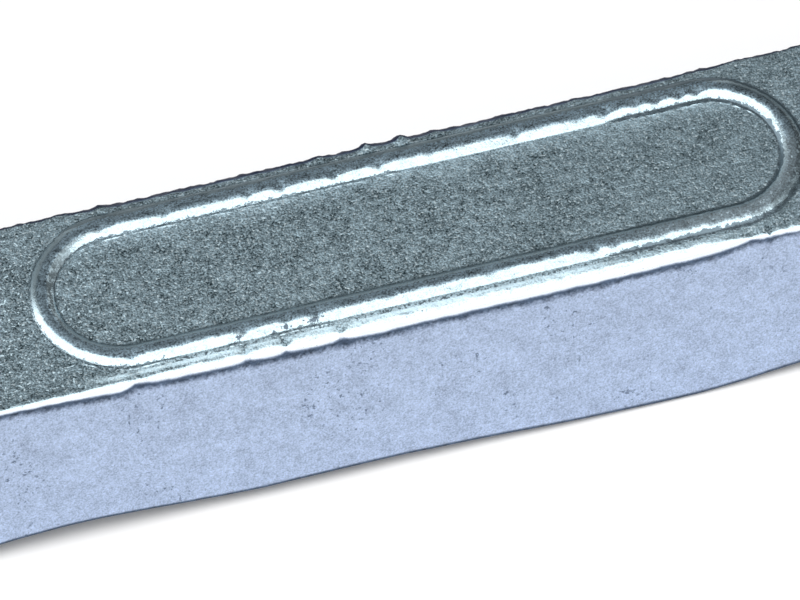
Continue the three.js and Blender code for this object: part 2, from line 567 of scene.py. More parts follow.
    def _lay_sheet(self) -> None:
        """Bridge the outline of the bead to a rectangle round it, which has as many points.

        The rectangle is lower until they are joined, so that they are paired the right way round.
        """
        half_length, half_width = self.half
        level = (0, 0, self.top)
        side_points = self.turn_points + 2 * self.side_cuts - self.end_points
        bpy.ops.mesh.select_all(action="DESELECT")
        bpy.ops.mesh.primitive_plane_add(size=2, location=(0, 0, self.top - 20 * MM))
        bpy.ops.transform.resize(value=(half_length, half_width, 1), center_override=level)
        bpy.ops.mesh.delete(type="ONLY_FACE")
        for pieces in (6, side_points // 6):  # an operator makes a hundred cuts at most
            self._pick_edges(lambda a, b: abs(a.y + b.y) / 2 > half_width - NEAR)
            bpy.ops.mesh.subdivide(number_cuts=pieces - 1)
        self._pick_edges(lambda a, b: abs(a.x + b.x) / 2 > half_length - NEAR)
        bpy.ops.mesh.subdivide(number_cuts=self.end_points - 1)
        self._pick_edges(lambda a, b: self._reach(a) > self.panel.radius, border=True)
        bpy.ops.mesh.bridge_edge_loops(number_cuts=self.sheet_cuts, interpolation="LINEAR")
        pick(self.obj, Part.VERT, lambda vert: vert.co.z < self.top)
        bpy.ops.transform.resize(value=(1, 1, 0), center_override=level)

    def _draw_ends(self) -> None:
        """Extend the sheet to both ends of the bar."""
        sheet_end = self.sheet_half_length - NEAR
        for side in (1, -1):
            self._pick_edges(lambda a, b: min(a.x * side, b.x * side) > sheet_end, border=True)
            bpy.ops.mesh.extrude_edges_move(
                TRANSFORM_OT_translate={"value": (side * (self.end_x - self.sheet_half_length), 0, 0)}
            )
        self._pick_edges(lambda a, b: abs(a.x - b.x) > 20 * MM)
        bpy.ops.mesh.subdivide(number_cuts=self.end_cuts)
        self.half = (self.end_x, self.sheet_half_width)

    def _drop_border(self, outward: tuple[float, float], down: float) -> None:
        """Extrude the open border down, and move it outward on every side.

        Args:
            outward: How much longer and wider the bar gets, on each side.
            down: How much lower the border goes.
        """
        grow = [1 + step / half for step, half in zip(outward, self.half)]
        bpy.ops.mesh.extrude_edges_move(TRANSFORM_OT_translate={"value": (0, 0, -down)})
        bpy.ops.transform.resize(value=(*grow, 1), center_override=(0, 0, 0))
        self.half = tuple(half + step for half, step in zip(self.half, outward))

    def _drop_round(self, radius: float, start: float, end: float, steps: int) -> None:
        """Extrude the open border over a round.

        Args:
            radius: Radius of the round.
            start: Angle above level that its normal starts at.
            end: Angle that it ends at.
            steps: Rows to make it of.
        """
        angles = np.linspace(start, end, steps + 1)
        for before, after in zip(angles, angles[1:]):
            outward = radius * (math.cos(after) - math.cos(before))
            self._drop_border((outward, outward), radius * (math.sin(before) - math.sin(after)))

    def _turn_rim(self) -> None:
        """Turn the sheet's border down over the rim's round."""
        self._pick_edges(lambda a, b: True, border=True)
        self._drop_round(self.rim_radius, math.pi / 2, self.side_draft, self.rim_steps)

    def _draw_walls(self) -> None:
        """Draw the walls down to the lip, turn the lip and cut the walls into rows."""
        rim_foot = self.top - self.rim_radius * (1 - math.sin(self.side_draft))
        drop = rim_foot - self.lip_radius * (1 + math.sin(self.side_draft))
        skirt = self.skirt_width / self.skirt_steps
        for row in [skirt] * self.skirt_steps + [drop - self.skirt_width]:
            self._drop_border((row * math.tan(self.end_draft), row * math.tan(self.side_draft)), row)
        self._drop_round(self.lip_radius, self.side_draft, -math.pi / 2, self.lip_steps)
        for _ in range(self.band_steps):
            inward = -self.band_width / self.band_steps
            self._drop_border((inward, inward), 0)
        self._pick_edges(lambda a, b: abs(a.z - b.z) > self.top / 2)
        bpy.ops.mesh.subdivide(number_cuts=self.wall_cuts)

    def _close_underside(self) -> None:
        """Close the underside with a grid and turn every face outward."""
        self._pick_edges(lambda a, b: True, border=True)
        bpy.ops.mesh.fill_grid(span=self.end_points, offset=0)
        bpy.ops.mesh.select_all(action="SELECT")
        bpy.ops.mesh.normals_make_consistent(inside=False)

    def _fit_to_solid(self) -> None:
        """Lift the low parts of the underside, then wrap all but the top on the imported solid."""
        x, _, z = positions(self.obj).T
        lift = sum(level.height(x) for level in self.low_levels)
        most = lift.max()
        self._displace(Zone.LEVEL, lift / most * np.clip(1 - z / (self.top - self.rim_radius), 0, 1), most)
        x, y, z = positions(self.obj).T
        outside = (np.abs(x) > self.end_x) | (np.abs(y) > self.sheet_half_width + NEAR / 10)
        below = z < self.top - NEAR / 10
        weigh(self.obj, Zone.WRAP, (outside | below).astype(float))
        apply_modifier(
            self.obj, "SHRINKWRAP", target=bpy.data.objects[CAST_NODE], wrap_method="NEAREST_SURFACEPOINT",
            vertex_group=Zone.WRAP.value,
        )
        apply_modifier(self.obj, "SMOOTH", factor=0.5, iterations=4, vertex_group=Zone.WRAP.value)

    def _displace(self, zone: Zone, weights: np.ndarray, strength: float, way: Way = Way.UP) -> None:
        """Move a zone of the skin.

        Args:
            zone: Zone to move.
            weights: One weight from 0 to 1 for each vertex.
            strength: How far a vertex of weight 1 moves.
            way: Which way it moves.
        """
        weigh(self.obj, zone, np.clip(weights, 0, 1))
        apply_modifier(
            self.obj, "DISPLACE", strength=strength, mid_level=0, direction=way.value, vertex_group=zone.value
        )

    def _roughen(self) -> None:
        """Shape the rims and the bead, give each zone its unevenness, and raise the ridges at the bead's feet."""
        x, y, z = positions(self.obj).T
        reach = self.panel.reach(x, y)
        on_top = z > self.top - 0.5 * MM
        radius, floor = self.panel.radius, self.panel.floor_radius
        bead = on_top * ease(reach, floor, floor + 2 * MM) * ease(reach, radius, radius - 2 * MM)
        rim = ease_mm(z, 50, 53.5) * np.maximum(ease_mm(np.abs(y), 29.5, 32), ease_mm(np.abs(x), 314, 317))
        wall = ease_mm(z, 54, 49) * ease_mm(z, 0.5, 4)
        beside = np.maximum(ease(reach, radius, radius + 3 * MM), ease(reach, floor, floor - 3 * MM))
        lift = sum(low.height(x) for low in self.low_levels)
        middle = ease_mm(np.abs(y), 48, 40) * ease_mm(np.abs(x), 344, 334)
        for zone, weights in (
            (Zone.BEAD, bead), (Zone.RIM, rim * (y < 30 * MM)), (Zone.FAR_RIM, rim * ease_mm(y, 31, 34)),
            (Zone.WALL, wall), (Zone.TOP, on_top * (1 - rim) * beside),
            (Zone.UNDERSIDE, (z - lift < 3 * MM) * middle),
        ):
            weigh(self.obj, zone, weights)
        self._pinch_rim(x, y, z)
        self._slope_bead(x, y, on_top)
        for relief in self.reliefs:
            relief.give_to(self.obj)
        self._raise_ridges(x, y, reach, on_top)

    def _pinch_rim(self, x: np.ndarray, y: np.ndarray, z: np.ndarray) -> None:
        """Tighten the front rim towards its ends, pinch it at its laps, and put lumps on the far rim.

        Args:
            x: Place of each vertex along the bar.
            y: Place of each across it.
            z: Height of each.
        """
        turn = math.pi / 2 - self.side_draft
        turned = np.arctan2(np.abs(y) - self.sheet_half_width, z - self.top + self.rim_radius)
        turned = np.clip(turned, 0, turn) * (z > self.top - self.rim_radius)
        to_sharp = 1 / np.cos(np.minimum(turned, turn - turned)) - 1
        sharpest = 1 / math.cos(turn / 2) - 1
        laps = self.rim_laps.share(x)
        tight = np.maximum(ease_mm(x, -98, -135), self.right_tightness * ease_mm(x, 78, 98))
        tight = np.minimum(np.maximum(tight, self.long_laps.share(x)) + 0.5 * laps, self.most_tightness)
        foot = self.round_rim_foot + tight * (self.sharp_rim_foot - self.round_rim_foot) - 0.5 * laps * self.lap_drop
        dips = replace(self.rim_laps, before=3.5 * MM, after=9 * MM).scallops(x) ** 0.6
        bare = self.bare_rim * (1 - dips) * (1 - 0.6 * tight)  # less at laps and where the rim is tight
        mark(self.obj, Mark.RIM_FOOT, foot)
        mark(self.obj, Mark.GRAIN_FOOT, foot + 0.2 * MM + bare)
        mark(self.obj, Mark.LAPS, laps)
        outward = np.clip((-y - self.drop_start) / self.rim_radius, 0, 1)
        drop = laps * outward * ease(z, self.top - 12 * MM, self.top - self.rim_radius)
        lumps = self.far_lumps.mounds(x) * np.sin(turned / turn * math.pi) * (y > 0)
        corner = to_sharp / sharpest * tight * (y < 0)
        self._displace(Zone.CORNER, corner, self.rim_radius * sharpest, Way.OUT)
        self._displace(Zone.LUMP, lumps, self.lump_height, Way.OUT)
        self._displace(Zone.DROP, drop, -self.lap_drop)

    def _slope_bead(self, x: np.ndarray, y: np.ndarray, on_top: np.ndarray) -> None:
        """Make the bead's flanks that face the front even slopes, pinched at their laps, and fill its back foot.

        Args:
            x: Place of each vertex along the bar.
            y: Place of each across it.
            on_top: Whether each is on the top face or the bead.
        """
        reach = self.panel.reach(x, y)
        outer, inner = self.panel.radius - reach, reach - self.panel.floor_radius
        filled = self._filled(x)
        panel_side = ease_mm(x, -4, 8) * ease_mm(x, 74, 64)
        mark(self.obj, Mark.PITS, np.clip(sum(pit.share(x, y) for pit in self.pits), 0, 1) * on_top)
        mark(self.obj, Mark.FILLED, filled * ease_mm(y, -20, -25) + panel_side * ease_mm(y, 10, 16))
        uneven = np.sin(x / MM * 1.45 + 1.8 * np.sin(x / MM * 0.41)) * np.sin(x / MM * 0.67 + 0.4)
        front_foot = self.uneven_foot * uneven * ease_mm(x, 44, 58) - self.filled_foot * filled
        back_foot = self.back_foot * ease_mm(x, 62, 74) * ease_mm(x, 114, 102) - self.filled_foot * panel_side
        change = self._section_change(outer, self._front_step(x), filled, front_foot) * ease_mm(y, -5, -20)
        change += self._section_change(inner, self._back_step(x), panel_side, back_foot) * ease_mm(y, 0, 14)
        fill = self._fillet(outer, self.fillet_reach) * ease_mm(y, 20, 27) + np.maximum(change, 0) / self.fillet_height
        self._displace(Zone.SLOPE, np.maximum(-change, 0) / self.slope_depth * on_top, -self.slope_depth)
        self._displace(Zone.FILLET, fill * on_top, self.fillet_height)

    def _front_step(self, x: np.ndarray) -> np.ndarray:
        """Return how far the bead's front flank steps back at x, as a share of its most."""
        steps = 0.5 * ease_mm(x, 52, 66) + 0.3 * ease_mm(x, 80, 92) + 0.4 * ease_mm(x, -92, -104)
        return np.clip(np.maximum(self.front_laps.share(x), steps), 0, 1)

    def _back_step(self, x: np.ndarray) -> np.ndarray:
        """Return how far the flank of the bead's back side steps back at x, as a share of the front's most."""
        return np.clip(self.back_laps.share(x), 0, self.deepest_back_step)

    def _section_change(self, inward: np.ndarray, step: np.ndarray, wide: np.ndarray, foot: np.ndarray) -> np.ndarray:
        """Return the height to add to the bead's arc to make its flank an even slope.

        Args:
            inward: Distance of each vertex from the flank's foot, onto the bead.
            step: How far the flank steps back, from 0 to 1.
            wide: How wide the flank is, from 0 to 1.
            foot: Distance in mm of the slope's foot from the arc's.

        Returns:
            Heights in metres, 0 off this half of the bead.
        """
        on_bead = np.clip(inward, 0, self.panel.bead_width) - self.panel.bead_width / 2
        arc = np.sqrt(self.panel.section_radius**2 - on_bead**2) - self.panel.section_radius + self.panel.bead_height
        crest, peak = self.panel.bead_width / 2 / MM, self.panel.bead_height / MM  # mm, as all that follows
        flank = self.flank
        start = flank.start + foot
        top = flank.top + flank.wide_top * wide - flank.step_top * step
        height = flank.height + flank.wide_height * wide - flank.step_height * step
        crown = peak - flank.step_crown * step
        from_start = inward / MM - start
        slope = height * np.clip(from_start / (top - start), 0, 1)
        beyond = np.clip((inward / MM - top) / (crest - top), 0, 1)
        even = np.where(from_start < top - start, slope, height + (crown - height) * (2 * beyond - beyond**2))
        past = np.clip(1 - (inward / MM - crest) / flank.fade, 0, 1)
        return np.where(inward < crest * MM, even * MM - arc, (crown - peak) * MM * past**2)

    def _filled(self, x: np.ndarray) -> np.ndarray:
        """Return how far the bead's front foot is filled at x."""
        return np.maximum.reduce([ease_mm(x, a, b) * ease_mm(x, d, c) for a, b, c, d in self.filled_spans])

    def _fillet(self, inward: np.ndarray, outward: float) -> np.ndarray:
        """Return a fillet's height over one of the bead's feet, as a share of its most.

        Args:
            inward: Distance of each vertex from the foot, onto the bead.
            outward: How far the fillet reaches off the bead.
        """
        return np.where(inward > 0, np.clip(1 - inward / self.fillet_width, 0, 1) ** 2, ease(inward, -outward, 0))

    def _raise_ridges(self, x: np.ndarray, y: np.ndarray, reach: np.ndarray, on_top: np.ndarray) -> None:
        """Raise the thin broken ridge beside each of the bead's feet.

        Args:
            x: Place of each vertex along the bar, before the relief.
            y: Place of each across the bar.
            reach: Distance of each from the panel's middle line.
            on_top: Whether each is on the top face or the bead.
        """
        crest = self.ridge_offset + self.ridge_wander * np.sin(x / MM * 0.31 + 1.7 * np.sin(x / MM * 0.11))
        outer = ease_mm(np.abs(reach - self.panel.radius - crest), self.ridge_width, 0)
        inner = ease_mm(np.abs(reach - self.panel.floor_radius + crest), self.ridge_width, 0)
        along = 0.45 + 0.8 * np.sin(x / MM * 1.9 + 2.5 * np.sin(x / MM * 0.37)) * np.sin(x / MM * 0.83)
        fade = ease(np.abs(x), self.panel.turn_x + 26 * MM, self.panel.turn_x + 10 * MM)
        front = ease_mm(y, 0, -12) * (1 - self._filled(x)) * ease_mm(x, 60, 45)
        back = ease_mm(y, 0, 12) * (ease_mm(x, 8, -4) + ease_mm(x, 74, 84))
        sides = outer * (0.1 + 0.9 * front) + inner * (0.1 + 0.9 * back)
        self._displace(Zone.RIDGE, on_top * np.clip(along, 0, 1) * fade * sides, self.ridge_height)


@dataclass
class Graph:
    """Builds a shader's nodes."""

    tree: bpy.types.NodeTree

    def node(self, kind: str, inputs: dict | None = None, **settings: object) -> bpy.types.Node:
        """Add a node.

        Args:
            kind: Blender's name for the type of node.
            inputs: What goes into its sockets, by name or number: a value, or a socket to link.
            settings: Values for the node's properties.

        Returns:
            The new node.
        """
        made = self.tree.nodes.new(kind)
        for name, value in settings.items():
            setattr(made, name, value)
        for key, value in (inputs or {}).items():
            self.put(made.inputs[key], value)
        return made

    def put(self, socket: bpy.types.NodeSocket, value: object) -> None:
        """Link a socket, or set its value.

        Args:
            socket: Input to fill.
            value: A socket to link, or a value.
        """
        if isinstance(value, bpy.types.NodeSocket):
            self.tree.links.new(value, socket)
        else:
            socket.default_value = value

    def math(self, operation: str, *values: object) -> Socket:
        """Return the result of a Math node on some values."""
        return self.node("ShaderNodeMath", dict(enumerate(values)), operation=operation).outputs[0]

    def times(self, product: object, *others: object) -> Socket:
        """Multiply some values.

        Args:
            product: The first of them.
            others: The rest.

        Returns:
            Their product.
        """
        for other in others:
            product = self.math("MULTIPLY", product, other)
        return product

    def plus(self, total: object, *others: object) -> Socket:
        """Add some values.

        Args:
            total: The first of them.
            others: The rest.

        Returns:
            Their sum.
        """
        for other in others:
            total = self.math("ADD", total, other)
        return total

    def scaled(self, value: object, factor: object, start: object) -> Socket:
        """Return a value times a factor, added to a start."""
        return self.math("MULTIPLY_ADD", value, factor, start)

    def most(self, first: object, second: object) -> Socket:
        """Return the greater of two values."""
        return self.math("MAXIMUM", first, second)

    def minus(self, first: object, second: object) -> Socket:
        """Return one value less another."""
        return self.math("SUBTRACT", first, second)

    def absolute(self, value: object) -> Socket:
        """Return a value without its sign."""
        return self.math("ABSOLUTE", value)

    def ease(self, value: object, low: float, high: float) -> Socket:
        """Ease a value from 0 at low to 1 at high.

        Args:
            value: Value to ease.
            low: Where the ease starts.
            high: Where it ends. It may be below low, and the ease then falls.

        Returns:
            A share from 0 to 1.
        """
        if low > high:
            return self.minus(1.0, self.ease(value, high, low))
        return self.node(
            "ShaderNodeMapRange", {0: value, 1: low, 2: high}, interpolation_type="SMOOTHSTEP"
        ).outputs[0]

    def noise(self, place: object, size: float, detail: float = 2.0, roughness: float = 0.5) -> Socket:
        """Return a noise of about this size in metres, from 0 to 1."""
        values = {"Vector": place, "Scale": 1 / size, "Detail": detail, "Roughness": roughness}
        return self.node("ShaderNodeTexNoise", values).outputs["Fac"]

    def mix(self, share: object, first: object, second: object) -> Socket:
        """Mix two colours.

        Args:
            share: How much of the second one there is.
            first: Colour at a share of 0.
            second: Colour at a share of 1.

        Returns:
            The colour between them.
        """
        made = self.node("ShaderNodeMix", data_type="RGBA")
        for socket, value in zip((made.inputs[0], made.inputs[6], made.inputs[7]), (share, first, second)):
            self.put(socket, value)
        return made.outputs[2]

    def vary(
        self, colour: Colour, *noises: tuple[object, float], level: object = 1.0, share: object = 1.0
    ) -> Socket:
        """Make a colour lighter and darker by noises.

        Args:
            colour: Colour to vary.
            noises: Each noise, from 0 to 1, and how much it changes the colour.
            level: What the colour is multiplied by where the noises are at their middle.
            share: How much of each noise counts.

        Returns:
            The varied colour.
        """
        for noise, depth in noises:
            level = self.scaled(self.scaled(noise, depth, -depth / 2), share, level)
        level = self.math("MINIMUM", self.most(level, DARKEST), BRIGHTEST / max(colour[:3]))
        return self.node("ShaderNodeVectorMath", {0: colour[:3], "Scale": level}, operation="SCALE").outputs[0]


@dataclass
class Skin:
    """What the finish reads at each point of the casting: places, slopes, distances, zones and noises."""

    graph: Graph
    panel: Panel
    place: Socket = field(init=False)
    x: Socket = field(init=False)
    y: Socket = field(init=False)
    up: Socket = field(init=False)  # 1 where the skin is level, and less the steeper it is
    half: float = field(init=False)  # half the bead's width
    from_middle: Socket = field(init=False)  # distance in plan outward of the bead's middle line
    from_bead: Socket = field(init=False)  # distance from that line to either side
    broad: Socket = field(init=False)
    medium: Socket = field(init=False)
    fine: Socket = field(init=False)
    laps: Socket = field(init=False)
    filled: Socket = field(init=False)
    below_rim: Socket = field(init=False)  # distance below the rim's lower edge
    wall: Socket = field(init=False)  # 1 on the walls
    on_rim: Socket = field(init=False)  # 1 where the grain reaches down over the front rim
    level: Socket = field(init=False)  # 1 on all of the grain
    near_right: Socket = field(init=False)
    away: Socket = field(init=False)  # 1 on the flanks that face the back: inner in front, outer behind
    rim_line: Socket = field(init=False)  # 1 on a line along the top of the front rim
    lit: Socket = field(init=False)  # 1 along that line where light is painted onto the grain next to the rim

    def __post_init__(self) -> None:
        """Add the nodes that everything else reads."""
        graph = self.graph
        where = graph.node("ShaderNodeTexCoord")
        self.place = where.outputs["Object"]
        self.x, self.y, z = graph.node("ShaderNodeSeparateXYZ", {0: self.place}).outputs
        self.up = graph.node("ShaderNodeSeparateXYZ", {0: where.outputs["Normal"]}).outputs[2]
        self.half = self.panel.bead_width / 2
        self.from_middle = self._from_middle()
        self.from_bead = graph.absolute(self.from_middle)
        self.broad = graph.noise(self.place, 9 * MM, 2.0, 0.6)
        self.medium = graph.noise(self.place, 2.6 * MM, 2.0, 0.7)
        self.fine = graph.noise(self.place, 0.62 * MM, 1.0, 0.6)
        self.laps = self.marked(Mark.LAPS)
        self.filled = self.marked(Mark.FILLED)
        self.below_rim = graph.minus(self.marked(Mark.RIM_FOOT), z)
        self.wall = graph.ease(self.below_rim, 0, 0.8 * MM)
        above_grain = graph.minus(z, self.marked(Mark.GRAIN_FOOT))
        self.on_rim = graph.times(self.across(-29.5, -30.5), graph.ease(above_grain, -0.15 * MM, 0.2 * MM))
        self.level = graph.most(graph.times(graph.ease(self.up, 0.88, 0.975), self.off_bead(-0.7, 0)), self.on_rim)
        self.near_right = graph.times(self.along(40, 90), self.across(5, -5))
        self.away = graph.ease(graph.times(self.from_middle, self.y), 0.0, 30 * MM**2)
        self.rim_line = graph.ease(graph.absolute(graph.plus(self.y, 29.75 * MM)), 1.1 * MM, 0.4 * MM)
        self.lit = graph.times(
            self.across(-28.7, -30.0), self.across(-32.4, -31.2), graph.scaled(self.along(60, -20), 0.7, 1.0),
            self.along(-125, -100), graph.scaled(self.laps, -1.3, 1.0),
        )

    def _from_middle(self) -> Socket:
        """Measure how far outward of the bead's middle line a point lies.

        Returns:
            The distance in plan, below 0 on the panel's side of the line.
        """
        graph = self.graph
        beyond = graph.most(graph.minus(graph.absolute(self.x), self.panel.turn_x), 0.0)
        reach = graph.math("SQRT", graph.scaled(beyond, beyond, graph.times(self.y, self.y)))
        return graph.minus(reach, self.panel.radius - self.half)

    def marked(self, name: Mark) -> Socket:
        """Return the value of one of the casting's attributes."""
        return self.graph.node("ShaderNodeAttribute", attribute_name=name.value).outputs["Fac"]

    def along(self, start: float, end: float) -> Socket:
        """Ease from 0 to 1 between two places along the bar, in mm."""
        return self.graph.ease(self.x, start * MM, end * MM)

    def across(self, start: float, end: float) -> Socket:
        """Ease from 0 to 1 between two places across the bar, in mm."""
        return self.graph.ease(self.y, start * MM, end * MM)

    def off_bead(self, start: float, end: float) -> Socket:
        """Ease from 0 to 1 between two distances from the bead's feet, in mm."""
        return self.graph.ease(self.from_bead, self.half + start * MM, self.half + end * MM)

    def noise(self, size: float, detail: float = 2.0, roughness: float = 0.5) -> Socket:
        """Return a noise of this size in mm, from 0 to 1."""
        return self.graph.noise(self.place, size * MM, detail, roughness)


@dataclass(frozen=True)
class CastSkin:
    """The finish of the whole casting: grainy on top, smooth over the bead and rim, dull on the walls."""

    name: str = "cast_skin"
    grainy: Colour = (0.358, 0.456, 0.51, 1)
    grain_shift: tuple[float, float, float] = (-0.018, -0.004, 0)
    smooth: Colour = (0.42, 0.575, 0.68, 1)
    # painted highlight on the steep slopes, on the glints and along the front rim's strip
    pale: Colour = (0.7, 0.89, 0.98, 1)
    # painted highlight on the steepest rounds of the bead and rim
    round_highlight: Colour = (0.88, 0.95, 0.98, 1)
    dull: Colour = (0.385, 0.465, 0.62, 1)
    # dark smudges and marks on the walls; also the colour of the painted reflection under the rim and the painted
    # shade on the far rim and lower edge
    stain_and_shade: Colour = (0.062, 0.09, 0.14, 1)
    # painted shade along the far edge of the far rim
    edge_shade: Colour = (0.012, 0.018, 0.04, 1)
    # painted shade in the creases at the bead's feet; also the dark specks along the top of the front rim
    speck_and_crease_shade: Colour = (0.18, 0.24, 0.28, 1)
    # painted shade: on the bead's flanks that face the back, the outside of its ends and the far turned surfaces
    painted_shade: Colour = (0.115, 0.163, 0.187, 1)
    fleck: Colour = (0.72, 0.86, 0.92, 1)
    # painted shade in the pits, which the mesh has no holes for
    pit: Colour = (0.13, 0.17, 0.21, 1)
    specular: float = 0.1
    roughness: float = 0.17  # of the bead and rim
    grain_roughness: float = 0.37  # added to it on the grain
    wall_roughness: float = 0.22  # added on the walls
    away_roughness: float = 0.25  # added on the bead's flanks that face the back
    shade_roughness: float = 0.3  # added where shade is painted
    bump_depth: float = 0.3 * MM

    def build(self, panel: Panel) -> bpy.types.Material:
        """Make the material.

        Args:
            panel: The panel and bead of the casting that it is for.

        Returns:
            The finished material.
        """
        material = bpy.data.materials.new(self.name)
        material.use_nodes = True
        graph = Graph(material.node_tree)
        skin = Skin(graph, panel)
        # painted dark reflection under the rim, and painted shade on the far rim and along the lower edge
        shade_share = self._shade_share(skin)
        glint = graph.times(graph.ease(skin.noise(0.95, 0.0), 0.71, 0.77), graph.most(skin.level, skin.near_right))
        colour = graph.mix(skin.level, self._smooth(skin), self._grainy(skin))
        colour = graph.mix(skin.wall, colour, self._dull(skin))
        # painted shade and dark reflection, painted shade in the creases and pits, and painted shade on the flanks
        # that face the back
        colour = self._paint_shade(skin, colour, shade_share)
        colour = self._crease(skin, colour)
        colour = self._paint_flank_shade(skin, colour)
        colour = graph.mix(graph.times(glint, skin.along(-80, -145), 0.7), colour, self.pale)
        matte = graph.most(shade_share, self._matte(skin, glint))
        rough = graph.scaled(skin.wall, self.wall_roughness, self.roughness)
        rough = graph.scaled(skin.level, self.grain_roughness, rough)
        rough = graph.scaled(graph.times(skin.away, skin.off_bead(0.5, 0)), self.away_roughness, rough)
        height = graph.scaled(skin.fine, 0.6, graph.times(skin.medium, 1.5))
        strength = graph.scaled(skin.level, 0.8, 0.28)
        bump = graph.node("ShaderNodeBump", {"Strength": strength, "Distance": self.bump_depth, "Height": height})
        for name, value in (
            ("Base Color", colour), ("Metallic", graph.minus(1.0, matte)), ("Specular IOR Level", self.specular),
            ("Roughness", graph.scaled(shade_share, self.shade_roughness, rough)), ("Normal", bump.outputs[0]),
        ):
            graph.put(material.node_tree.nodes["Principled BSDF"].inputs[name], value)
        return material

    def _grainy(self, skin: Skin) -> Socket:
        """Return the colour of the grain on top.

        Args:
            skin: What is read at each point.

        Returns:
            The colour, with light painted along the front rim and a little shade painted on the far strip; lighter
            behind the bead's back side and by its filled foot.
        """
        graph = skin.graph
        behind = graph.times(skin.across(13, 20), graph.ease(skin.from_middle, 0.0, -1 * MM))
        # painted light along the front rim, and a little painted shade on the far strip
        fringe = graph.scaled(graph.plus(skin.lit, behind), 0.45, graph.scaled(skin.across(28, 29), -0.02, 1.0))
        fringe = graph.scaled(graph.times(skin.filled, skin.across(-28.4, -28.8)), 0.25, fringe)
        fringe = graph.scaled(graph.times(skin.on_rim, graph.ease(skin.up, 0.975, 0.9)), -0.2, fringe)
        calm = graph.scaled(skin.along(-20, 110), -0.28, 1.0)
        noises = ((skin.fine, 3.4), (skin.medium, 2.2), (skin.broad, 1.2))
        grainy = graph.vary(self.grainy, *noises, level=fringe, share=calm)
        grainy = graph.node("ShaderNodeVectorMath", {0: grainy, 1: self.grain_shift}, operation="ADD").outputs[0]
        grainy = graph.mix(graph.ease(skin.noise(0.85, 0.0), 0.62, 0.76), grainy, self.fleck)
        # painted light along the front rim
        return graph.mix(graph.times(skin.lit, 0.25), grainy, self.pale)

    def _smooth(self, skin: Skin) -> Socket:
        """Return the colour of the bead and rim.

        Args:
            skin: What is read at each point.

        Returns:
            The colour, paler the steeper the skin is, as painted highlights on the slopes and rounds.
        """
        graph = skin.graph
        smooth = graph.vary(self.smooth, (skin.fine, 3.0), (skin.medium, 1.5), (skin.broad, 0.6))
        smooth = graph.mix(graph.times(skin.near_right, 0.4), smooth, self.fleck)
        pale = graph.vary(self.pale, (skin.fine, 1.1), (skin.medium, 0.9))
        # painted highlight on the steep flanks
        smooth = graph.mix(graph.ease(skin.up, 0.955, 0.925), smooth, pale)
        # painted highlight on the steepest rounds
        return graph.mix(graph.ease(skin.up, 0.75, 0.6), smooth, self.round_highlight)

    def _dull(self, skin: Skin) -> Socket:
        """Return the colour of the walls.

        Args:
            skin: What is read at each point.

        Returns:
            The colour, with smudges and clusters of small dark marks.
        """
        graph = skin.graph
        dull = graph.vary(self.dull, (skin.fine, 1.1), (skin.medium, 0.5), (skin.broad, 0.4))
        smudge = graph.ease(skin.noise(5, 4.0, 0.75), 0.64, 0.76)
        dull = graph.mix(graph.times(smudge, 0.5), dull, self.stain_and_shade)
        clusters = graph.ease(skin.noise(22, 1.0), 0.52, 0.64)
        marks = graph.times(graph.ease(skin.noise(1.6, 2.0, 0.6), 0.61, 0.68), clusters)
        return graph.mix(graph.times(marks, 0.7), dull, self.stain_and_shade)

    def _turned(self, skin: Skin) -> Socket:
        """Return 1 where a rim has turned down, as far as its foot."""
        graph = skin.graph
        return graph.times(graph.ease(skin.up, 0.965, 0.92), graph.ease(skin.below_rim, 1.5 * MM, 0.5 * MM))

    def _shade_share(self, skin: Skin) -> Socket:
        """Return where shade is painted onto the skin.

        Args:
            skin: What is read at each point.

        Returns:
            1 under the rim, where a dark reflection is painted, and on the far rim and along the bar's lower edge,
            where shade is painted.
        """
        graph = skin.graph
        # the lower border of the dark reflection painted under the rim wanders; it is lower at the laps, and higher at
        # the right
        wander = graph.scaled(skin.noise(1.3, 2.0, 0.6), 2.4 * MM, skin.below_rim)
        wander = graph.scaled(skin.noise(9), 3 * MM, wander)
        wander = graph.scaled(skin.laps, -1.2 * MM, wander)
        wander = graph.scaled(skin.along(84, 102), 1.3 * MM, wander)
        ragged = graph.scaled(skin.medium, 1.2 * MM, skin.below_rim)
        under_rim = graph.times(graph.ease(ragged, 0.8 * MM, 1.9 * MM), graph.ease(wander, 6.9 * MM, 4.2 * MM))
        far_rim = graph.times(self._turned(skin), skin.across(30.6, 31.4))
        lower_edge = graph.times(graph.ease(skin.marked(Mark.EDGE_HEIGHT), 2.6 * MM, 1.4 * MM), skin.wall)
        return graph.most(graph.most(under_rim, far_rim), lower_edge)

    def _paint_shade(self, skin: Skin, colour: Socket, shade_share: Socket) -> Socket:
        """Paint a dark reflection under the rim, and shade on the far turned surfaces, the far rim and the lower edge.

        Args:
            skin: What is read at each point.
            colour: Colour so far.
            shade_share: Where that shade is painted, from 0 to 1.

        Returns:
            The new colour.
        """
        graph = skin.graph
        turned = self._turned(skin)
        # painted shade on the far turned surfaces
        colour = graph.mix(graph.times(turned, skin.across(25.7, 26.5), 0.75), colour, self.painted_shade)
        # painted dark reflection and shade
        colour = graph.mix(shade_share, colour, graph.vary(self.stain_and_shade, (skin.medium, 2.0), (skin.fine, 1.0)))
        # painted shade along the far edge
        return graph.mix(graph.times(turned, skin.across(30.6, 31.4), skin.across(31.7, 32.6)), colour, self.edge_shade)

    def _crease(self, skin: Skin, colour: Socket) -> Socket:
        """Paint shade into the pits and along the creases at the bead's feet, and dark specks along the top of the
        front rim.

        Args:
            skin: What is read at each point.
            colour: Colour so far.

        Returns:
            The new colour.
        """
        graph = skin.graph
        ragged = graph.scaled(skin.noise(1.1, 2.0, 0.7), 2.4, skin.marked(Mark.PITS))
        # painted shade in the pits
        colour = graph.mix(graph.ease(ragged, 1.65, 1.85), colour, self.pit)
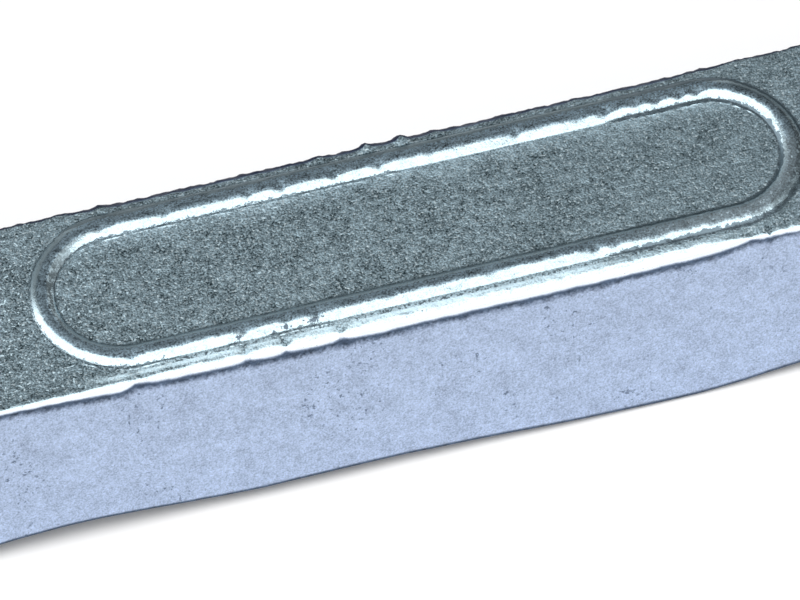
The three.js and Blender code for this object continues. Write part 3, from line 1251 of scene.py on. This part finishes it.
        # the shade lines painted at the feet are strongest at the right, and fade where the foot is filled
        unfilled = graph.scaled(skin.along(50, 65), 0.6, graph.scaled(skin.filled, -1.0, 0.9))
        from_foot = graph.scaled(skin.noise(1.8, 2.0, 0.6), 2.4 * MM, skin.from_bead)
        from_foot = graph.absolute(graph.minus(from_foot, skin.half + 1.05 * MM))
        at_foot = graph.scaled(skin.medium, 1.2, graph.scaled(from_foot, -1 / MM, unfilled))
        at_foot = graph.scaled(skin.fine, 1.1, at_foot)
        # painted shade along the creases at the bead's feet
        colour = graph.mix(graph.ease(at_foot, 1.75, 1.95), colour, self.speck_and_crease_shade)
        speck = graph.plus(skin.noise(0.9, 1.0, 0.7), graph.times(skin.medium, 0.6))
        speck = graph.times(graph.ease(speck, 0.78, 0.96), skin.lit, skin.rim_line)
        return graph.mix(speck, colour, self.speck_and_crease_shade)

    def _paint_flank_shade(self, skin: Skin, colour: Socket) -> Socket:
        """Paint shade onto the bead's flanks that face the back, and onto the outside of its ends.

        Args:
            skin: What is read at each point.
            colour: Colour so far.

        Returns:
            The new colour.
        """
        graph = skin.graph
        from_foot = graph.absolute(graph.minus(skin.from_bead, skin.half - 0.15 * MM))
        turn_x = skin.panel.turn_x
        round_end = graph.ease(graph.absolute(skin.x), turn_x + 5 * MM, turn_x + 20 * MM)
        # painted shade on the flanks that face the back, deepest at their feet
        shaded = graph.times(
            skin.away, graph.ease(from_foot, 2.6 * MM, 0.4 * MM), skin.off_bead(1.0, 0.3),
            graph.scaled(skin.along(-60, 80), 0.25, 0.75), graph.plus(skin.medium, 0.2),
            graph.scaled(round_end, -0.5, 1.0), graph.scaled(skin.across(-5, 5), -0.65, 0.9),
        )
        colour = graph.mix(shaded, colour, graph.vary(self.painted_shade, (skin.fine, 2.5), (skin.medium, 1.5)))
        # painted shade on the outside of the bead's ends
        end = graph.most(skin.along(104, 114), graph.times(skin.along(-104, -116), skin.across(-3, 4)))
        end = graph.times(end, graph.ease(skin.from_middle, 0.5 * MM, 1.5 * MM), skin.off_bead(0.5, 0), 0.6)
        return graph.mix(end, colour, self.painted_shade)

    def _matte(self, skin: Skin, glint: Socket) -> Socket:
        """Return how far the skin is lit like a matte one, which keeps it pale from every side.

        Args:
            skin: What is read at each point.
            glint: 1 on the grain's bright flecks.

        Returns:
            Its share, above 0 on the flecks, along the top of the front rim and on the flanks that face the front.
        """
        graph = skin.graph
        glint = graph.times(glint, graph.scaled(skin.along(0, -120), 0.5, 0.3))
        rim = graph.times(skin.lit, graph.scaled(skin.rim_line, -0.3, 0.4), skin.along(64, 44))
        shoulder = graph.times(
            graph.ease(skin.up, 0.99, 0.95), graph.minus(1.0, skin.away), skin.off_bead(0, -0.5),
            graph.ease(graph.plus(skin.fine, skin.medium), 0.95, 1.25), 0.35,
        )
        return graph.most(graph.most(rim, glint), shoulder)


@dataclass(frozen=True)
class View:
    """The camera: where it aims, from which side and how long its lens is."""

    azimuth: float = math.radians(15.77)
    elevation: float = math.radians(55.58)
    distance: float = 2.0
    aim: tuple[float, float] = (-14.25 * MM, -27.03 * MM)
    lens_mm: float = 289.4
    sensor_mm: float = 36.0
    clip_end: float = 50.0

    @property
    def front(self) -> Vector:
        """Level direction from the casting to the camera."""
        return Vector((-math.sin(self.azimuth), -math.cos(self.azimuth), 0))

    def place(self, aim_z: float) -> bpy.types.Object:
        """Add the camera and make it the scene's own.

        Args:
            aim_z: Height of the point that it aims at.

        Returns:
            The camera.
        """
        back = self.front * math.cos(self.elevation) + Vector((0, 0, math.sin(self.elevation)))
        bpy.ops.object.camera_add(
            location=Vector((*self.aim, aim_z)) + back * self.distance,
            rotation=(math.pi / 2 - self.elevation, 0, -self.azimuth),
        )
        camera = bpy.context.object
        camera.name = "camera"
        camera.data.lens = self.lens_mm
        camera.data.sensor_width = self.sensor_mm
        camera.data.clip_end = self.clip_end
        bpy.context.scene.camera = camera
        return camera


@dataclass(frozen=True)
class Studio:
    """A pale floor, a lamp above and a little in front, and surroundings that are bright in front."""

    front: Vector
    floor_size: float = 30.0
    floor_colour: Colour = (0.88, 0.88, 0.88, 1)
    floor_glow: float = 0.06
    lamp_elevation: float = math.radians(97)  # a little in front of the zenith
    lamp_distance: float = 2.5
    lamp_size: float = 2.2
    lamp_power: float = 56.0
    bright: float = 1.5
    bright_turn: float = math.radians(-20)
    bright_spread: float = 0.45
    bright_edge: float = -0.32
    dim: tuple[float, float, float] = (0.12, 0.15, 0.3)  # at the horizon, added at the zenith, added near the edge
    on_floor: float = 0.45  # share of the surroundings that reaches the floor
    backdrop_top: float = 0.05  # up to where the surroundings are white behind the floor

    def build(self) -> None:
        """Set up the floor, the lamp and the world."""
        self._lay_floor()
        self._hang_lamp()
        self._surround()

    def _lay_floor(self) -> None:
        """Lay the floor, as an object apart from the casting."""
        bpy.ops.mesh.primitive_plane_add(size=self.floor_size)
        floor = bpy.context.object
        floor.name = "floor"
        material = bpy.data.materials.new("floor")
        material.use_nodes = True
        shader = material.node_tree.nodes["Principled BSDF"]
        shader.inputs["Base Color"].default_value = self.floor_colour
        shader.inputs["Roughness"].default_value = 1.0
        shader.inputs["Specular IOR Level"].default_value = 0.0
        shader.inputs["Emission Color"].default_value = (1, 1, 1, 1)
        shader.inputs["Emission Strength"].default_value = self.floor_glow
        floor.data.materials.append(material)

    def _hang_lamp(self) -> None:
        """Hang the soft lamp that makes the shadow on the floor."""
        towards = -self.front * math.cos(self.lamp_elevation) + Vector((0, 0, math.sin(self.lamp_elevation)))
        bpy.ops.object.light_add(type="AREA", location=towards * self.lamp_distance)
        lamp = bpy.context.object
        lamp.name = "lamp"
        lamp.rotation_euler = towards.to_track_quat("Z", "Y").to_euler()
        lamp.data.shape = "DISK"
        lamp.data.size = self.lamp_size
        lamp.data.energy = self.lamp_power
        lamp.visible_glossy = False

    def _surround(self) -> None:
        """Make the world bright in front and to the left, down to just above the horizon, and dim elsewhere."""
        world = bpy.data.worlds.new("surroundings")
        bpy.context.scene.world = world
        world.use_nodes = True
        graph = Graph(world.node_tree)
        towards = graph.node("ShaderNodeTexCoord").outputs["Generated"]
        height = graph.node("ShaderNodeSeparateXYZ", {0: towards}).outputs[2]
        side = Matrix.Rotation(self.bright_turn, 3, "Z") @ self.front - Vector((0, 0, self.bright_spread))
        facing = graph.node("ShaderNodeVectorMath", {0: towards, 1: side}, operation="DOT_PRODUCT").outputs["Value"]
        edge = self.bright_edge
        lit = graph.times(graph.ease(facing, edge - 0.03, edge + 0.03), graph.ease(height, -0.02, 0.01))
        low, high, near = self.dim
        dim = graph.scaled(graph.times(height, height), high, low)
        dim = graph.scaled(graph.ease(facing, -1.0, -0.4), near, dim)
        level = graph.node("ShaderNodeMix", {0: lit, 2: dim, 3: self.bright}, data_type="FLOAT").outputs[0]
        ray = graph.node("ShaderNodeLightPath").outputs
        level = graph.times(level, graph.scaled(ray["Is Diffuse Ray"], self.on_floor - 1, 1.0))
        seen = graph.plus(ray["Is Camera Ray"], ray["Is Glossy Ray"], ray["Is Transmission Ray"])
        backdrop = graph.ease(height, self.backdrop_top + 0.05, self.backdrop_top)
        level = graph.most(level, graph.times(seen, backdrop))
        graph.put(world.node_tree.nodes["Background"].inputs["Strength"], level)
        world.node_tree.nodes["Background"].inputs["Color"].default_value = (1, 1, 1, 1)


def main() -> None:
    """Build the casting and the studio, and report each piece."""
    logging.basicConfig(level=logging.INFO, format="%(message)s")
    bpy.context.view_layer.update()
    casting = Casting()
    ingot = casting.build()
    ingot.data.materials.append(CastSkin().build(casting.panel))
    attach(ingot, BODY)
    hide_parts(CAST_NODE)
    view = View()
    view.place(casting.top)
    Studio(view.front).build()
    bpy.context.scene.view_settings.view_transform = "Standard"
    log.info("studio: floor, lamp and surroundings")


if __name__ == "__main__":
    main()
